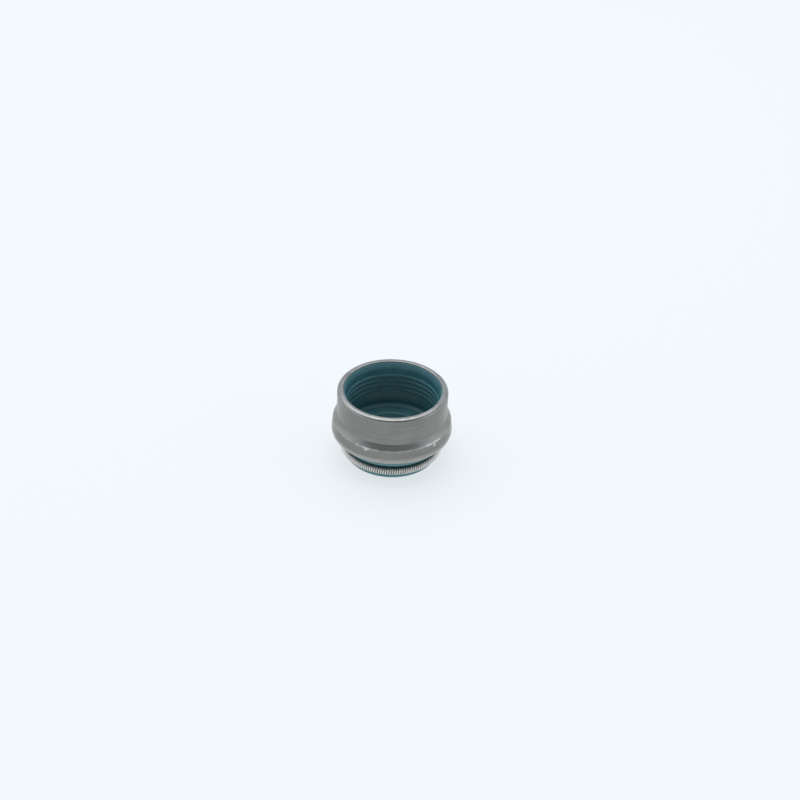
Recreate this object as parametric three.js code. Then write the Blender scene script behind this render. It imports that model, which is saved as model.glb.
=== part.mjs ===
// Valve stem seal, lip end down and wide mouth up. Millimetres, +Z up.
// The origin is on the seal's axis, at the level of the flat ring that it rests on.
// Three real pieces: a deep-drawn steel case, a rubber body bonded inside it, and a garter spring.

import * as THREE from "three";

// What the seal fits
const guideDiameter = 12.0; // valve guide pressed into the socket
const stemDiameter = 8.0; // valve stem wiped by the lip
const ribGrip = 0.15; // how far a rib's crest stands inside the guide's radius
const guideClearance = 0.03; // plain socket wall outside the guide's radius
const lipGrip = 0.15; // how far the lip's edge stands inside the stem's radius
const throatClearance = 0.15; // throat outside the stem's radius

// Steel case, one drawn sheet
const overallHeight = 9.8;
const sheetThickness = 0.8;
const liningThickness = 0.3; // rubber between the socket wall and the case's upper cylinder
const rimOuterFillet = 0.4;
const rimInnerFillet = 0.08;
const shoulderTopHeight = 6.25; // where the upper cylinder starts to step out
const shoulderDrop = 0.8;
const shoulderStep = 0.55; // how far the case steps out there
const shoulderHollowFillet = 0.5;
const shoulderCrestFillet = 0.4;
const skirtFlare = 0.22; // the skirt's radius grows by this down to its lower corner
const skirtCornerFillet = 0.65;
const flangeHeight = 3.32; // underside of the inward flange
const flangeCover = 0.18; // how far the rubber collar reaches under the flange

// Rubber body, socket side
const mouthRecess = 0.16; // rubber starts this far below the rim
const mouthLedge = 0.1; // width of the rubber's end face at the mouth
const leadInDepth = 0.74;
const ribCount = 4;
const firstRibDepth = 2.0; // from the rim down to the first crest
const ribPitch = 0.7;
const ribFoot = 0.5; // height of a rib where it leaves the wall
const ribCrest = 0.16; // height of its flat crest
const socketFloorHeight = 3.15;
const socketFloorFillet = 0.55;
const floorDish = 0.2; // the floor falls this much to the throat
const throatFillet = 0.35;

// Rubber body, lip side
const neckWall = 0.5; // rubber outside the socket wall, under the flange
const collarHeight = 2.25; // lower edge of the collar
const collarFillet = 0.14;
const grooveRoofHeight = 1.95;
const lipEdgeHeight = 0.9;
const restRingInner = 5.0; // radii of the flat ring that the seal stands on
const restRingOuter = 5.78;
const restRingFillet = 0.2;

// Garter spring
const springRingDiameter = 12.32; // through the middle of its coil
const springHeight = 1.25; // middle of the coil
const coilDiameter = 1.0; // outside of the coil
const wireDiameter = 0.24;
const wireGap = 0.02; // between turns, on the inside of the ring
const springClearance = 0.05; // between the coil and its groove

// Fineness of the round shapes
const latheSegments = 56;
const stepsPerTurn = 6;
const wireSides = 4;

// Radii and heights worked out from the sizes above
const guideRadius = guideDiameter / 2;
const stemRadius = stemDiameter / 2;
const socketRadius = guideRadius + guideClearance;
const crestRadius = guideRadius - ribGrip;
const caseInner = socketRadius + liningThickness;
const caseOuter = caseInner + sheetThickness;
const skirtTop = caseOuter + shoulderStep;
const skirtBottom = skirtTop + skirtFlare;
const shoulderFootHeight = shoulderTopHeight - shoulderDrop;
const neckRadius = socketRadius + neckWall;
const flangeHole = neckRadius - flangeCover;
const rubberTop = overallHeight - mouthRecess;
const coilRadius = coilDiameter / 2;
const springRadius = springRingDiameter / 2;

// Points of an outline in the half plane (radius, height). Each corner is [radius, height], or
// [radius, height, fillet, steps] where it is rounded by an arc tangent to both of its sides.
function filletedOutline(corners) {
  const points = [];
  corners.forEach(([radius, height, fillet = 0, steps = 1], i) => {
    const corner = new THREE.Vector2(radius, height);
    const isEnd = i === 0 || i === corners.length - 1;
    if (fillet === 0 || isEnd) {
      points.push(corner);
      return;
    }
    const before = new THREE.Vector2(...corners[i - 1].slice(0, 2)).sub(corner).normalize();
    const after = new THREE.Vector2(...corners[i + 1].slice(0, 2)).sub(corner).normalize();
    const halfAngle = Math.acos(THREE.MathUtils.clamp(before.dot(after), -1, 1)) / 2;
    const middle = before.clone().add(after).normalize().multiplyScalar(fillet / Math.sin(halfAngle)).add(corner);
    const start = before.multiplyScalar(fillet / Math.tan(halfAngle)).add(corner).sub(middle);
    const end = after.multiplyScalar(fillet / Math.tan(halfAngle)).add(corner).sub(middle);
    const turn = Math.atan2(start.cross(end), start.dot(end));
    for (let k = 0; k <= steps; k += 1) {
      const spoke = start.clone().rotateAround(new THREE.Vector2(), (turn * k) / steps);
      points.push(spoke.add(middle));
    }
  });
  return points;
}

// A solid of revolution about +Z from an outline that closes on itself.
function turned(outline) {
  const closed = [...outline, outline[0].clone()];
  const area = closed.slice(1).reduce((sum, p, i) => sum + closed[i].cross(p), 0);
  const profile = area > 0 ? closed : closed.reverse();
  return new THREE.LatheGeometry(profile, latheSegments).rotateX(Math.PI / 2);
}

// How far a wall's inner side moves along its step, so that the sheet keeps its thickness on the slope.
const slopeAngle = Math.atan2(shoulderStep, shoulderDrop);
const sheetShift = sheetThickness * Math.tan(slopeAngle / 2);

// The bond: the case's inner side, from the mouth down to the edge of the collar under the flange.
// The case and the rubber both use these points, so they meet face to face.
const bondLine = filletedOutline([
  [caseInner, rubberTop],
  [caseInner, shoulderTopHeight - sheetShift, shoulderHollowFillet + sheetThickness, 2],
  [skirtTop - sheetThickness, shoulderFootHeight - sheetShift, sheetThickness / 4, 1],
  [skirtBottom - sheetThickness, flangeHeight + sheetThickness],
  [flangeHole, flangeHeight + sheetThickness],
  [flangeHole, flangeHeight],
  [neckRadius, flangeHeight],
]);

function steelCase() {
  const outside = filletedOutline([
    [neckRadius, flangeHeight],
    [skirtBottom, flangeHeight, skirtCornerFillet, 4],
    [skirtTop, shoulderFootHeight, shoulderCrestFillet, 2],
    [caseOuter, shoulderTopHeight, shoulderHollowFillet, 2],
    [caseOuter, overallHeight, rimOuterFillet, 3],
    [caseInner, overallHeight, rimInnerFillet, 1],
    [caseInner, rubberTop],
  ]);
  return turned([...outside.slice(1), ...bondLine.slice(1)]);
}

// One gripping rib of the socket wall, from its upper foot to its lower foot.
function rib(index) {
  const height = overallHeight - firstRibDepth - index * ribPitch;
  return [
    [socketRadius, height + ribFoot / 2],
    [crestRadius, height + ribCrest / 2],
    [crestRadius, height - ribCrest / 2],
    [socketRadius, height - ribFoot / 2],
  ];
}

// The part of the spring's groove that follows the coil, from its upper end to the ledge under the coil.
function grooveArc() {
  const hug = coilRadius + springClearance;
  const upperEnd = THREE.MathUtils.degToRad(150);
  const lowerEnd = THREE.MathUtils.degToRad(255);
  return new THREE.EllipseCurve(springRadius, springHeight, hug, hug, upperEnd, lowerEnd).getPoints(4);
}

function rubberBody() {
  const ribs = Array.from({ length: ribCount }, (_, index) => rib(index)).flat();
  const socket = filletedOutline([
    [caseInner, rubberTop],
    [caseInner - mouthLedge, rubberTop],
    [socketRadius, rubberTop - leadInDepth],
    ...ribs,
    [socketRadius, socketFloorHeight, socketFloorFillet, 2],
    [stemRadius + throatClearance, socketFloorHeight - floorDish, throatFillet, 3],
    [stemRadius - lipGrip, lipEdgeHeight],
  ]);
  const arc = grooveArc();
  const ledge = arc[arc.length - 1];
  const restRing = filletedOutline([
    [stemRadius - lipGrip, lipEdgeHeight],
    [restRingInner, 0],
    [restRingOuter + restRingFillet, 0, restRingFillet, 2],
    [ledge.x, ledge.y],
  ]);
  const collar = filletedOutline([
    [arc[0].x, arc[0].y],
    [springRadius - coilRadius - springClearance, grooveRoofHeight],
    [neckRadius, collarHeight, collarFillet, 2],
    [neckRadius, flangeHeight],
  ]);
  const lipSide = [...restRing.slice(1, -1), ...arc.toReversed(), ...collar.slice(1)];
  const bond = bondLine.toReversed();
  return turned([...socket, ...lipSide, ...bond.slice(1, -1)]);
}

// The spring's wire: a helix wound round a ring, which closes on itself.
class GarterWire extends THREE.Curve {
  constructor(turns) {
    super();
    this.turns = turns;
    this.windingRadius = coilRadius - wireDiameter / 2;
  }

  // Direction from the middle of the coil to the wire, at a share t of the whole ring.
  outward(t) {
    const around = 2 * Math.PI * t;
    const halfStep = Math.PI / stepsPerTurn; // turns a straight stretch of wire outwards, not a corner
    const winding = around * this.turns + halfStep;
    const spread = Math.cos(winding);
    return new THREE.Vector3(spread * Math.cos(around), spread * Math.sin(around), Math.sin(winding));
  }

  getPoint(t) {
    const around = 2 * Math.PI * t;
    const middle = new THREE.Vector3(
      springRadius * Math.cos(around),
      springRadius * Math.sin(around),
      springHeight,
    );
    return this.outward(t).multiplyScalar(this.windingRadius).add(middle);
  }

  getPointAt(t) {
    return this.getPoint(t);
  }

  // The wire's section stays square to the coil instead of twisting slowly along it.
  computeFrenetFrames(steps) {
    const frames = { tangents: [], normals: [], binormals: [] };
    for (let i = 0; i <= steps; i += 1) {
      const tangent = this.getTangent(i / steps);
      const normal = this.outward(i / steps);
      frames.tangents.push(tangent);
      frames.normals.push(normal);
      frames.binormals.push(new THREE.Vector3().crossVectors(tangent, normal).normalize());
    }
    return frames;
  }
}

function garterSpring() {
  const innermost = 2 * Math.PI * (springRadius - coilRadius);
  const turns = Math.floor(innermost / (wireDiameter + wireGap));
  const wire = new GarterWire(turns);
  return new THREE.TubeGeometry(wire, turns * stepsPerTurn, wireDiameter / 2, wireSides, true);
}

function piece(name, geometry, color, roughness, metalness) {
  const mesh = new THREE.Mesh(geometry, new THREE.MeshStandardMaterial({ color, roughness, metalness }));
  mesh.name = name;
  return mesh;
}

const seal = new THREE.Group();
seal.add(piece("steel_case", steelCase(), 0x84827f, 0.3, 1.0));
seal.add(piece("rubber_body", rubberBody(), 0x35646c, 0.48, 0.0));
seal.add(piece("garter_spring", garterSpring(), 0xc1bebb, 0.33, 1.0));

export default seal;
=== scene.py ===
# %% [markdown]
# # A valve stem seal
#
# A valve stem seal is a small ring that keeps oil from running down an engine's valve. It has three
# pieces: a case drawn from sheet steel, a rubber body bonded inside it, and a garter spring that holds
# the rubber's lip to the stem. Here it stands upside down on a white table, with its wide mouth up.
#
# All three are round, so this lesson is mostly about one way of working: draw half of a section, round
# its corners, and spin it. The spring is the exception, because its wire is wound.

import math

import bmesh
import bpy
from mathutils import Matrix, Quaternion, Vector


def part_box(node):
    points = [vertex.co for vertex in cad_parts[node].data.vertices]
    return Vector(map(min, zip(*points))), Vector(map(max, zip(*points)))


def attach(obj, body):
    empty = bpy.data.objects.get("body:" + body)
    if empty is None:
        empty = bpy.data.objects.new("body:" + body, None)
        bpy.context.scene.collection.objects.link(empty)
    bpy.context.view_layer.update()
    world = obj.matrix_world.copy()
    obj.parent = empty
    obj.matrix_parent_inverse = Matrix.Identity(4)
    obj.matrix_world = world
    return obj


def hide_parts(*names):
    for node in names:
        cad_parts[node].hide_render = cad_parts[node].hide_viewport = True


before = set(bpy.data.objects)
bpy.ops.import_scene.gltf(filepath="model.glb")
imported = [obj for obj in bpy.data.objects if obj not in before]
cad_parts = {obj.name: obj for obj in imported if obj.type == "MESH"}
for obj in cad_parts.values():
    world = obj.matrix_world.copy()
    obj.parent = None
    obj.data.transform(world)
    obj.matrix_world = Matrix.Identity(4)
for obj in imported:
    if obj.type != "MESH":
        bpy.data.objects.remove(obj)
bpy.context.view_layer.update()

# %% [markdown]
# ## Sizes
#
# Blender works in metres, and this seal is 16 mm across. Sections are easier to read in millimetres, and
# the bevel tool ignores lengths of a few micrometres as numerical noise. So each section is drawn in
# millimetres, and the finished mesh is scaled down once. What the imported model's boxes can tell is read
# from them.

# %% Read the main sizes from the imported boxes
MM = 0.001


def box_mm(node):
    low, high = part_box(node)
    return low / MM, high / MM


case_low, case_high = box_mm("steel_case")
rubber_high = box_mm("rubber_body")[1]
spring_low, spring_high = box_mm("garter_spring")

rim_height = case_high.z
flange_height = case_low.z
rubber_top = rubber_high.z
spring_height = (spring_low.z + spring_high.z) / 2
print("rim at", round(rim_height, 2), "mm, flange at", round(flange_height, 2), "mm")

# %% Sizes of the fit: a 12 mm valve guide in the socket, an 8 mm stem in the lip
guide_radius = 6.0
stem_radius = 4.0
socket_radius = guide_radius + 0.03
crest_radius = guide_radius - 0.15
throat_radius = stem_radius + 0.15
lip_radius = stem_radius - 0.15

sheet = 0.8
lining = 0.3
case_inner = socket_radius + lining
case_outer = case_inner + sheet
skirt_top = case_outer + 0.55
skirt_bottom = skirt_top + 0.22
neck_radius = socket_radius + 0.5
flange_hole = neck_radius - 0.18
spring_ring_radius = 6.16

shoulder_top_height = 6.25
shoulder_foot_height = shoulder_top_height - 0.8
slope_angle = math.atan2(skirt_top - case_outer, shoulder_top_height - shoulder_foot_height)
sheet_shift = sheet * math.tan(slope_angle / 2)

# %% [markdown]
# ## Camera
#
# The photograph looks down on the seal at about 36 degrees through a long lens, with the camera tipped by
# two degrees. The seal is small in the frame and just off its middle. Aiming the camera a little past the
# seal gives that place with no lens shift.

# %% Aim the camera
photo_pixels = 800
pixel_size = 0.13 * MM
sensor_width = 36.0
sight_elevation = math.radians(35.9)
camera_roll = math.radians(2.1)
camera_distance = 1400 * pixel_size
seal_centre = Vector((0, 0, 37 * pixel_size))
seal_centre_pixel = Vector((391.8, 420.2))

toward_camera = Vector((0, -math.cos(sight_elevation), math.sin(sight_elevation)))
level_up = Vector((0, math.sin(sight_elevation), math.cos(sight_elevation)))
level_right = Vector((1, 0, 0))
tipped_right = level_right * math.cos(camera_roll) + level_up * math.sin(camera_roll)
tipped_up = level_up * math.cos(camera_roll) - level_right * math.sin(camera_roll)

off_centre = Vector((photo_pixels / 2, photo_pixels / 2)) - seal_centre_pixel
aim = seal_centre + (tipped_right * off_centre.x - tipped_up * off_centre.y) * pixel_size

camera_data = bpy.data.cameras.new("camera")
camera_data.sensor_width = sensor_width
camera_data.lens = sensor_width * camera_distance / (photo_pixels * pixel_size)
camera_data.clip_start = 10 * MM
camera = bpy.data.objects.new("camera", camera_data)
camera.location = seal_centre + toward_camera * camera_distance
camera.rotation_mode = "QUATERNION"
level_turn = (aim - camera.location).to_track_quat("-Z", "Y")
camera.rotation_quaternion = level_turn @ Quaternion((0, 0, 1), camera_roll)
bpy.context.scene.collection.objects.link(camera)
bpy.context.scene.camera = camera
bpy.context.scene.view_settings.view_transform = "Standard"
print("lens", round(camera_data.lens, 1), "mm")

# %% [markdown]
# ## Node helpers
#
# Every finish below is a small tree of shader nodes. Two helpers keep those trees short enough to read:
# one adds a node with its settings, and one plugs a value or another node's output into a socket.

# %% Add a node, fill a socket
def node(tree, kind, **settings):
    made = tree.nodes.new(kind)
    for name, value in settings.items():
        setattr(made, name, value)
    return made


def fill(tree, socket, value):
    if isinstance(value, bpy.types.NodeSocket):
        tree.links.new(value, socket)
    else:
        socket.default_value = value


def math_node(tree, operation, first, second=0.0, clamp=False):
    made = node(tree, "ShaderNodeMath", operation=operation, use_clamp=clamp)
    fill(tree, made.inputs[0], first)
    fill(tree, made.inputs[1], second)
    return made.outputs[0]


def weighted_sum(tree, first, first_share, second, second_share):
    one = math_node(tree, "MULTIPLY", first, first_share)
    other = math_node(tree, "MULTIPLY", second, second_share)
    return math_node(tree, "ADD", one, other)


def remap(tree, value, from_low, from_high, to_low=0.0, to_high=1.0):
    made = node(tree, "ShaderNodeMapRange", interpolation_type="SMOOTHSTEP")
    for socket, given in zip(made.inputs, (value, from_low, from_high, to_low, to_high)):
        fill(tree, socket, given)
    return made.outputs[0]


def mix_colours(tree, share, first, second):
    made = node(tree, "ShaderNodeMix", data_type="RGBA")
    fill(tree, made.inputs["Factor"], share)
    fill(tree, made.inputs[6], first)
    fill(tree, made.inputs[7], second)
    return made.outputs[2]


def mix_shaders(tree, share, first, second):
    made = node(tree, "ShaderNodeMixShader")
    fill(tree, made.inputs[0], share)
    tree.links.new(first.outputs[0], made.inputs[1])
    tree.links.new(second.outputs[0], made.inputs[2])
    return made


def noise(tree, place, scale, detail=2.0, w=None):
    made = node(tree, "ShaderNodeTexNoise", noise_dimensions="3D" if w is None else "4D")
    fill(tree, made.inputs["Vector"], place)
    fill(tree, made.inputs["Scale"], scale)
    fill(tree, made.inputs["Detail"], detail)
    if w is not None:
        fill(tree, made.inputs["W"], w)
    return made.outputs["Fac"]


# %% [markdown]
# Patterns are placed by Object coordinates, which stay on the piece whatever the camera does. They come
# in metres, so each pattern multiplies them by a thousand, and every scale below can be read as so many
# per millimetre.

# %% Places in millimetres, and the parts of them
def millimetres(tree, stretch=(1, 1, 1)):
    coordinates = node(tree, "ShaderNodeTexCoord")
    made = node(tree, "ShaderNodeVectorMath", operation="MULTIPLY")
    fill(tree, made.inputs[0], coordinates.outputs["Object"])
    made.inputs[1].default_value = [share / MM for share in stretch]
    return made.outputs[0]


def distance_from_axis(tree):
    across = node(tree, "ShaderNodeVectorMath", operation="LENGTH")
    fill(tree, across.inputs[0], millimetres(tree, (1, 1, 0)))
    return across.outputs["Value"]


def height_above_table(tree):
    parts = node(tree, "ShaderNodeSeparateXYZ")
    fill(tree, parts.inputs[0], millimetres(tree))
    return parts.outputs["Z"]


def new_group(name, inputs, outputs):
    """A shader node group, with its input and output nodes. Inputs are {name: default}."""
    tree = bpy.data.node_groups.new(name, "ShaderNodeTree")
    for socket_name, default in inputs.items():
        socket = tree.interface.new_socket(socket_name, in_out="INPUT", socket_type="NodeSocketFloat")
        socket.default_value = default
    for socket_name in outputs:
        tree.interface.new_socket(socket_name, in_out="OUTPUT", socket_type="NodeSocketFloat")
    return tree, node(tree, "NodeGroupInput").outputs, node(tree, "NodeGroupOutput").inputs


def use_group(tree, group, **inputs):
    made = node(tree, "ShaderNodeGroup", node_tree=group)
    for name, value in inputs.items():
        fill(tree, made.inputs[name.replace("_", " ")], value)
    return made.outputs


# %% [markdown]
# ## Marks that run round the seal
#
# The case was drawn and then trimmed on a lathe, the mould was turned on one, and both leave fine lines
# round the axis. A noise pattern gives them when it changes fast with height and with the distance from
# the axis, and hardly at all on the way round. Four-dimensional noise takes all of these at once, so the
# lines also cross the rim's flat top.

# %% Group: turned lines
def make_turned_lines():
    tree, given, wanted = new_group("turned lines", {"Lines per mm": 8.0, "Detail": 3.0}, ["Lines"])
    parts = node(tree, "ShaderNodeSeparateXYZ")
    fill(tree, parts.inputs[0], millimetres(tree, (0.12, 0.12, 1)))
    place = node(tree, "ShaderNodeCombineXYZ")
    fill(tree, place.inputs["X"], parts.outputs["X"])
    fill(tree, place.inputs["Y"], parts.outputs["Y"])
    fill(tree, place.inputs["Z"], math_node(tree, "MULTIPLY", parts.outputs["Z"], given["Lines per mm"]))
    outward = math_node(tree, "MULTIPLY", distance_from_axis(tree), given["Lines per mm"])
    lines = noise(tree, place.outputs[0], 1.0, given["Detail"], w=outward)
    fill(tree, wanted["Lines"], remap(tree, lines, 0.3, 0.7))
    return tree


turned_lines = make_turned_lines()

# %% [markdown]
# ## Wear, painted highlights and painted shade in rings
#
# Round parts knock against each other in a box, and they shine where they touch: on the rim, on the
# shoulder and on the lower corner. There the colour is painted brighter, as wear and painted highlight
# together. In the hollow above the shoulder a darker band is painted shade. Each of those is a ring at
# one height, so one group makes a soft band round the axis at a height and breaks it up with noise.

# %% Group: ring band
def make_ring_band():
    inputs = {"Height": 0.0, "Width": 0.2, "Break up": 2.0, "Least": 0.0}
    tree, given, wanted = new_group("ring band", inputs, ["Band"])
    off = math_node(tree, "SUBTRACT", height_above_table(tree), given["Height"])
    near = math_node(tree, "DIVIDE", math_node(tree, "ABSOLUTE", off), given["Width"])
    band = remap(tree, near, 0.0, 1.0, 1.0, 0.0)
    cloudy = noise(tree, millimetres(tree), given["Break up"], 4.0)
    patches = remap(tree, cloudy, 0.28, 0.62, given["Least"], 1.0)
    fill(tree, wanted["Band"], math_node(tree, "MULTIPLY", band, patches))
    return tree


ring_band = make_ring_band()

# %% [markdown]
# ## Handling
#
# Fingers, packing oil and dust leave soft smudges and a few pale specks. Both come from noise: the
# smudges from a slow one, the specks from the few places where a fast one is highest.

# %% Group: handling
def make_handling():
    inputs = {"Smudges per mm": 0.5, "Specks per mm": 4.0}
    tree, given, wanted = new_group("handling", inputs, ["Smudges", "Specks"])
    slow = noise(tree, millimetres(tree), given["Smudges per mm"], 5.0)
    fill(tree, wanted["Smudges"], remap(tree, slow, 0.36, 0.66))
    fast = noise(tree, millimetres(tree), given["Specks per mm"], 1.0)
    fill(tree, wanted["Specks"], remap(tree, fast, 0.76, 0.82))
    return tree


handling = make_handling()

# %% [markdown]
# ## Finishes
#
# Each finish is a Principled surface. The colour, roughness and bump change over the surface through the
# groups above, and what is the same all over is set on the shader's own sockets.

# %% A surface to start from
def new_finish(name):
    material = bpy.data.materials.new(name)
    material.use_nodes = True
    tree = material.node_tree
    return material, tree, tree.nodes["Principled BSDF"].inputs


def bumped(tree, height, strength, depth_mm):
    made = node(tree, "ShaderNodeBump")
    made.inputs["Strength"].default_value = strength
    made.inputs["Distance"].default_value = depth_mm * MM
    fill(tree, made.inputs["Height"], height)
    return made.outputs["Normal"]


# %% [markdown]
# ### Drawn steel
#
# The case is bare steel that went through drawing dies and a tumbling barrel. It is a dull mid grey, not
# a mirror: the lines spread its reflections. Its worn edges are painted brighter: on the rim, the shoulder
# crest and the lower corner this is wear and painted highlight together. Two small knocks on the shoulder
# show bare metal and are painted bright as glints, and the crest beside them is rubbed and painted
# brighter. A thin darker band in the hollow above the shoulder is painted shade.

# %% Knocks on the shoulder, painted as bright glints
knock_glint_places = (Vector((-3.15, -7.02, 5.30)), Vector((5.47, -5.43, 5.17)))


def distance_from_knock_glints(tree):
    ragged = math_node(tree, "MULTIPLY", noise(tree, millimetres(tree), 5.0, 2.0), 0.5)
    nearest = 10.0
    for place in knock_glint_places:
        gap = node(tree, "ShaderNodeVectorMath", operation="DISTANCE")
        fill(tree, gap.inputs[0], millimetres(tree))
        fill(tree, gap.inputs[1], place)
        nearest = math_node(tree, "MINIMUM", gap.outputs["Value"], nearest)
    return math_node(tree, "ADD", nearest, ragged)


# %% Finish: drawn steel
def make_drawn_steel():
    material, tree, surface = new_finish("drawn steel")
    fine = use_group(tree, turned_lines, Lines_per_mm=9.0)["Lines"]
    coarse = use_group(tree, turned_lines, Lines_per_mm=2.6, Detail=1.0)["Lines"]
    marks = use_group(tree, handling, Smudges_per_mm=0.45)
    corner_height = flange_height + 0.5
    rim = use_group(tree, ring_band, Height=rim_height, Width=0.35, Break_up=0.9)["Band"]
    crest = use_group(tree, ring_band, Height=shoulder_foot_height, Width=0.22, Break_up=1.1)["Band"]
    corner = use_group(tree, ring_band, Height=corner_height, Width=0.65, Break_up=1.3, Least=0.6)["Band"]
    # Near the two knocks the colour is painted bright: bare metal, and a painted glint.
    from_knock_glints = distance_from_knock_glints(tree)
    crest_share = remap(tree, from_knock_glints, 0.8, 2.4, 0.9, 0.3)
    # The rim, crest and corner bands raise the colour towards a bright grey: wear, and painted highlight
    # along those edges.
    wear_and_highlight = remap(tree, from_knock_glints, 0.3, 0.62, 1.0, 0.0)
    for band, share in ((rim, 0.12), (crest, crest_share), (corner, 0.55)):
        wear_and_highlight = math_node(tree, "MAXIMUM", wear_and_highlight, math_node(tree, "MULTIPLY", band, share))

    streaks = weighted_sum(tree, fine, 0.45, coarse, 0.3)
    tone = math_node(tree, "ADD", streaks, math_node(tree, "MULTIPLY", marks["Smudges"], 0.25), clamp=True)
    dull_grey = (0.195, 0.190, 0.180, 1)
    pale_grey = (0.275, 0.268, 0.256, 1)
    # This bright grey paints wear and painted highlight together, on the rim, crest, lower corner and knocks.
    wear_and_highlight_grey = (0.56, 0.55, 0.53, 1)
    # This dark brown is used only to paint shade into the hollow above the shoulder.
    painted_shade_brown = (0.06, 0.057, 0.052, 1)
    bare = mix_colours(tree, tone, dull_grey, pale_grey)
    steel_before_shade = mix_colours(tree, wear_and_highlight, bare, wear_and_highlight_grey)
    # A thin darker band in the hollow above the shoulder is painted shade of that corner.
    hollow_height = shoulder_top_height - 0.22
    hollow_shade = use_group(tree, ring_band, Height=hollow_height, Width=0.24, Break_up=0.8)["Band"]
    thin_hollow_shade = math_node(tree, "MULTIPLY", hollow_shade, 0.2)
    fill(tree, surface["Base Color"], mix_colours(tree, thin_hollow_shade, steel_before_shade, painted_shade_brown))
    surface["Metallic"].default_value = 1.0
    matt = math_node(tree, "ADD", math_node(tree, "MULTIPLY", tone, 0.12), 0.24)
    smoother = math_node(tree, "MULTIPLY", wear_and_highlight, 0.08)
    fill(tree, surface["Roughness"], math_node(tree, "SUBTRACT", matt, smoother))
    fill(tree, surface["Normal"], bumped(tree, streaks, 0.5, 0.006))
    return material


drawn_steel = make_drawn_steel()

# %% [markdown]
# ### Moulded rubber
#
# The rubber is dark teal all through. It comes from a turned mould, so it is smooth and a little glossy,
# with the mould's faint lines. Dust sticks to it. On the neck and near the mouth its colour is painted
# paler, as painted light where light falls on them.

# %% Finish: moulded rubber
def make_moulded_rubber():
    material, tree, surface = new_finish("moulded rubber")
    mould = use_group(tree, turned_lines, Lines_per_mm=5.0)["Lines"]
    marks = use_group(tree, handling, Smudges_per_mm=0.7, Specks_per_mm=7.0)
    grain = noise(tree, millimetres(tree), 22.0, 2.0)
    tone = weighted_sum(tree, mould, 0.35, marks["Smudges"], 0.65)
    deep_teal = (0.028, 0.116, 0.134, 1)
    light_teal = (0.042, 0.150, 0.172, 1)
    # The pale teal is painted light: it makes the neck and the mouth paler where light falls on them.
    painted_light_teal = (0.12, 0.26, 0.28, 1)
    pale_dust = (0.28, 0.32, 0.32, 1)
    teal = mix_colours(tree, tone, deep_teal, light_teal)
    dusty = math_node(tree, "MULTIPLY", marks["Specks"], 0.35)
    # The neck below the flange and the mouth near the top are painted paler, as painted light.
    outside = remap(tree, distance_from_axis(tree), socket_radius - 0.5, neck_radius - 0.2)
    below = remap(tree, height_above_table(tree), flange_height, flange_height + 0.2, 1.0, 0.0)
    neck = math_node(tree, "MULTIPLY", math_node(tree, "MULTIPLY", outside, below), 0.8)
    mouth = remap(tree, height_above_table(tree), rubber_top - 1.1, rubber_top - 0.2, 0.0, 0.35)
    painted_light = math_node(tree, "MAXIMUM", neck, mouth)
    teal_with_painted_light = mix_colours(tree, painted_light, teal, painted_light_teal)
    fill(tree, surface["Base Color"], mix_colours(tree, dusty, teal_with_painted_light, pale_dust))
    fill(tree, surface["Roughness"], remap(tree, marks["Smudges"], 0.0, 1.0, 0.36, 0.50))
    surface["Specular IOR Level"].default_value = 0.42
    relief = weighted_sum(tree, mould, 0.6, grain, 0.4)
    fill(tree, surface["Normal"], bumped(tree, relief, 0.35, 0.006))
    return material


moulded_rubber = make_moulded_rubber()

# %% [markdown]
# ### Spring wire
#
# The wire is bright drawn steel. Its inner side, which faces the rubber and lies in the clefts between
# its turns, is painted darker as painted shade.

# %% Finish: spring wire
def make_spring_wire():
    material, tree, surface = new_finish("spring wire")
    die_lines = noise(tree, millimetres(tree), 26.0, 2.0)
    marks = use_group(tree, handling, Smudges_per_mm=1.2)
    tone = weighted_sum(tree, die_lines, 0.5, marks["Smudges"], 0.5)
    painted_shade_steel = (0.28, 0.275, 0.26, 1)
    bright = mix_colours(tree, tone, (0.52, 0.51, 0.48, 1), (0.74, 0.72, 0.68, 1))
    # The inner side of the coil, facing the rubber, is painted darker as shade.
    outside = remap(tree, distance_from_axis(tree), spring_ring_radius - 0.5, spring_ring_radius - 0.3)
    fill(tree, surface["Base Color"], mix_colours(tree, outside, painted_shade_steel, bright))
    surface["Metallic"].default_value = 1.0
    fill(tree, surface["Roughness"], remap(tree, tone, 0.0, 1.0, 0.26, 0.40))
    fill(tree, surface["Normal"], bumped(tree, die_lines, 0.3, 0.003))
    return material


spring_wire = make_spring_wire()

# %% [markdown]
# ## A section, and its spin
#
# Half of a section is a closed outline beside the axis. It could be drawn point by point, but a drawing
# office gives corners and radii, and Blender can round a corner by itself: the bevel tool in its vertex
# form. It works on a face, so the corners first become one flat face. When its corners are round the face
# goes, its edges stay, and the spin tool sweeps them once round the axis and closes the seam.

# %% Turn a section into a solid of revolution
spin_steps = 288
fillet_segments = 7


def rounded_section(bm, corners):
    """Edges of a closed outline in the XZ plane. A corner is (radius, height) or (radius, height, fillet)."""
    points = [Vector((corner[0], 0, corner[1])) for corner in corners]
    verts = [bm.verts.new(point) for point in points]
    bm.faces.new(verts)
    for i, corner in enumerate(corners):
        if len(corner) < 3:
            continue
        before = (points[i - 1] - points[i]).normalized()
        after = (points[(i + 1) % len(points)] - points[i]).normalized()
        reach = corner[2] / math.tan(before.angle(after) / 2)
        bmesh.ops.bevel(
            bm, geom=[verts[i]], offset=reach, offset_type="OFFSET", segments=fillet_segments,
            profile=0.5, affect="VERTICES", material=-1,
        )
    bmesh.ops.delete(bm, geom=bm.faces[:], context="FACES_ONLY")


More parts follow.
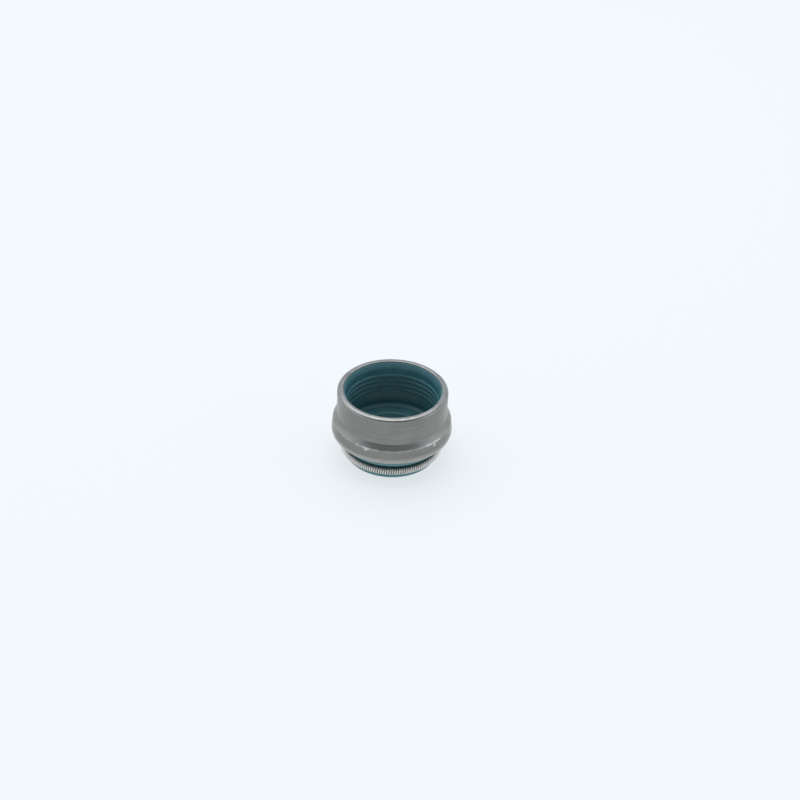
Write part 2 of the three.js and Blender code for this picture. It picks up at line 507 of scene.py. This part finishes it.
def spun_piece(name, corners, finish):
    """A finished object, in metres, from a section in millimetres."""
    bm = bmesh.new()
    rounded_section(bm, corners)
    bmesh.ops.spin(
        bm, geom=bm.verts[:] + bm.edges[:], cent=(0, 0, 0), axis=(0, 0, 1), dvec=(0, 0, 0),
        angle=math.tau, steps=spin_steps, use_merge=True, use_duplicate=False,
    )
    bmesh.ops.remove_doubles(bm, verts=bm.verts[:], dist=0.0005)
    bmesh.ops.recalc_face_normals(bm, faces=bm.faces[:])
    bmesh.ops.scale(bm, vec=(MM, MM, MM), verts=bm.verts[:])
    for face in bm.faces:
        face.smooth = True
    return piece_from(bm, name, finish)


def piece_from(bm, name, finish):
    mesh = bpy.data.meshes.new(name)
    bm.to_mesh(mesh)
    bm.free()
    mesh.materials.append(finish)
    piece = bpy.data.objects.new(name, mesh)
    bpy.context.scene.collection.objects.link(piece)
    print(name, "has", len(mesh.polygons), "faces")
    return piece


# %% [markdown]
# ## The steel case
#
# The case is one sheet, 0.8 mm thick, so both of its sides follow the same steps. The outside goes up
# from the flange round the lower corner, over the shoulder and up to the rim. The inside comes back down.
# Where the wall slopes, the inner corners move down a little, so that the sheet keeps its thickness
# there.

# %% Model the case
rim_outer_fillet = 0.4
rim_inner_fillet = 0.08
shoulder_hollow_fillet = 0.5
shoulder_crest_fillet = 0.4
skirt_corner_fillet = 0.65

bond_corners = [
    (case_inner, shoulder_top_height - sheet_shift, shoulder_hollow_fillet + sheet),
    (skirt_top - sheet, shoulder_foot_height - sheet_shift, sheet / 4),
    (skirt_bottom - sheet, flange_height + sheet),
    (flange_hole, flange_height + sheet),
    (flange_hole, flange_height),
]

case = spun_piece("case", [
    (skirt_bottom, flange_height, skirt_corner_fillet),
    (skirt_top, shoulder_foot_height, shoulder_crest_fillet),
    (case_outer, shoulder_top_height, shoulder_hollow_fillet),
    (case_outer, rim_height, rim_outer_fillet),
    (case_inner, rim_height, rim_inner_fillet),
    *bond_corners,
], drawn_steel)

# %% [markdown]
# ## The rubber body
#
# The rubber starts just below the rim with a ledge too narrow to notice, and a flared lead-in guides the
# valve guide in. Four ribs grip it, and it stops on a dished floor. Below the floor the throat narrows to
# the lip, and the outside carries the collar, the spring's groove and the ring that the seal stands on.

# %% Model the rubber
mouth_ledge = 0.1
lead_in_depth = 0.74
first_rib_depth = 2.0
rib_pitch = 0.7
rib_foot = 0.5
rib_crest = 0.16
rib_foot_fillet = 0.25
rib_crest_fillet = 0.14
rib_heights = [rim_height - first_rib_depth - rib_pitch * i for i in range(4)]

floor_height = 3.15
floor_fillet = 0.55
throat_height = floor_height - 0.2
throat_fillet = 0.35
lip_edge_height = 0.9
sharp_edge_fillet = 0.05

rest_ring_inner = 5.0
rest_ring_outer = 5.98
ledge_radius = spring_ring_radius - 0.15
ledge_height = 0.7
groove_wall = spring_ring_radius - 0.55
groove_roof_height = 1.95
collar_height = 2.25
collar_fillet = 0.14


def rib_corners(height):
    return [
        (socket_radius, height + rib_foot / 2, rib_foot_fillet),
        (crest_radius, height + rib_crest / 2, rib_crest_fillet),
        (crest_radius, height - rib_crest / 2, rib_crest_fillet),
        (socket_radius, height - rib_foot / 2, rib_foot_fillet),
    ]


rubber = spun_piece("rubber", [
    (case_inner, rubber_top),
    (case_inner - mouth_ledge, rubber_top, sharp_edge_fillet),
    (socket_radius, rubber_top - lead_in_depth, 0.25),
    *[corner for height in rib_heights for corner in rib_corners(height)],
    (socket_radius, floor_height, floor_fillet),
    (throat_radius, throat_height, throat_fillet),
    (lip_radius, lip_edge_height, sharp_edge_fillet),
    (rest_ring_inner, 0.0, 0.12),
    (rest_ring_outer, 0.0, 0.2),
    (ledge_radius, ledge_height, 0.06),
    (groove_wall, ledge_height - 0.02, 0.3),
    (groove_wall, groove_roof_height, 0.12),
    (neck_radius, collar_height, collar_fillet),
    (neck_radius, flange_height),
    *reversed(bond_corners),
], moulded_rubber)

# %% [markdown]
# ## The garter spring
#
# The spring is one wire wound round and round, and the coil's two ends are joined, so that it is a ring.
# Its centre line is a formula: one angle goes once round the seal while the other goes once round the
# coil for each turn. A loop lays that line as a closed curve, and the curve's bevel makes it a round
# wire.

# %% Model the spring
spring_turns = 136
steps_per_turn = 20
coil_radius = 0.5
wire_radius = 0.12
winding_radius = coil_radius - wire_radius


def garter_wire(name, finish):
    curve = bpy.data.curves.new(name + " line", "CURVE")
    curve.dimensions = "3D"
    curve.bevel_depth = wire_radius * MM
    curve.bevel_resolution = 3
    line = curve.splines.new("POLY")
    steps = spring_turns * steps_per_turn
    line.points.add(steps - 1)
    line.use_cyclic_u = True
    for i, point in enumerate(line.points):
        around = math.tau * i / steps
        winding = around * spring_turns
        reach = spring_ring_radius + winding_radius * math.cos(winding)
        height = spring_height + winding_radius * math.sin(winding)
        point.co = (reach * math.cos(around) * MM, reach * math.sin(around) * MM, height * MM, 1)
    drawn = bpy.data.objects.new(name + " line", curve)
    bpy.context.scene.collection.objects.link(drawn)
    bpy.context.view_layer.update()
    bm = bmesh.new()
    bm.from_mesh(drawn.evaluated_get(bpy.context.evaluated_depsgraph_get()).to_mesh())
    bpy.data.objects.remove(drawn)
    for face in bm.faces:
        face.smooth = True
    return piece_from(bm, name, finish)


spring = garter_wire("spring", spring_wire)

# %% [markdown]
# ## Table and light
#
# The seal stands on a white table under soft light from all round, as in a light tent. The world is that
# light. A large soft lamp over and behind the seal gives the bright line on its rim, and the side toward
# the camera is dimmer, which shades the hollow above the shoulder.
#
# The table is a translucent sheet that is lit from below as well. Its glow keeps it pale right up to the
# seal, so the shadow on it is faint, and it brings light to the underside.

# %% Lay the table
def make_table_white():
    material, tree, surface = new_finish("table white")
    cloudy = noise(tree, millimetres(tree), 0.004, 1.0)
    pale = mix_colours(tree, cloudy, (0.84, 0.83, 0.80, 1), (0.87, 0.86, 0.83, 1))
    fill(tree, surface["Base Color"], pale)
    surface["Roughness"].default_value = 0.7
    surface["Specular IOR Level"].default_value = 0.2
    glow = node(tree, "ShaderNodeEmission")
    glow.inputs["Color"].default_value = (0.865, 0.92, 0.955, 1)
    lit = mix_shaders(tree, 0.75, tree.nodes["Principled BSDF"], glow)
    from_below = node(tree, "ShaderNodeNewGeometry").outputs["Backfacing"]
    both = mix_shaders(tree, from_below, lit, node(tree, "ShaderNodeBsdfTransparent"))
    tree.links.new(both.outputs[0], tree.nodes["Material Output"].inputs["Surface"])
    return material


bm = bmesh.new()
bmesh.ops.create_circle(bm, cap_ends=True, segments=96, radius=1.5)
table = piece_from(bm, "table", make_table_white())

# %% Light the seal
def soft_lamp(name, place, size, watts, colour):
    data = bpy.data.lights.new(name, "AREA")
    data.shape = "DISK"
    data.size = size
    data.energy = watts
    data.color = colour
    lamp = bpy.data.objects.new(name, data)
    lamp.location = place
    lamp.rotation_mode = "QUATERNION"
    lamp.rotation_quaternion = (seal_centre - lamp.location).to_track_quat("-Z", "Y")
    bpy.context.scene.collection.objects.link(lamp)


soft_lamp("overhead lamp", Vector((-0.05, 0.12, 0.40)), 0.48, 1.25, (0.98, 0.99, 1.0))

world = bpy.data.worlds.new("light tent")
world.use_nodes = True
bpy.context.scene.world = world
sky = world.node_tree
towards = node(sky, "ShaderNodeSeparateXYZ")
fill(sky, towards.inputs[0], node(sky, "ShaderNodeTexCoord").outputs["Generated"])
to_front = math_node(sky, "MULTIPLY", towards.outputs["Y"], -1.0)
to_side = math_node(sky, "ABSOLUTE", towards.outputs["X"])

near_horizon = remap(sky, towards.outputs["Z"], 0.05, 0.25, 0.6, 0.0)
back_wall = remap(sky, towards.outputs["Y"], 0.3, 0.7)
side_wall = remap(sky, to_side, 0.6, 0.95)
front_side = remap(sky, to_front, 0.15, 0.6)
high_up = remap(sky, towards.outputs["Z"], 0.3, 0.7)
front_gap = math_node(sky, "MULTIPLY", front_side, high_up)
tent = mix_colours(sky, back_wall, (0.58, 0.63, 0.69, 1), (0.84, 0.93, 1.04, 1))
tent = mix_colours(sky, side_wall, tent, (1.25, 1.33, 1.42, 1))
tent = mix_colours(sky, near_horizon, tent, (1.45, 1.53, 1.62, 1))
tent = mix_colours(sky, front_gap, tent, (0.10, 0.105, 0.12, 1))

fill(sky, sky.nodes["Background"].inputs["Color"], tent)
sky.nodes["Background"].inputs["Strength"].default_value = 1.0

# %% [markdown]
# ## Put the pieces on the frame
#
# The seal has no moving parts, so its pieces all ride on the one body. Each stands for the plain solid of
# the imported model that has its shape.

# %% Ride and replace
for piece, plain_solid, material_slot in (
    (case, "steel_case", "case_steel"),
    (rubber, "rubber_body", "seal_rubber"),
    (spring, "garter_spring", "spring_wire"),
):
    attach(piece, "root")
    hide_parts(plain_solid)
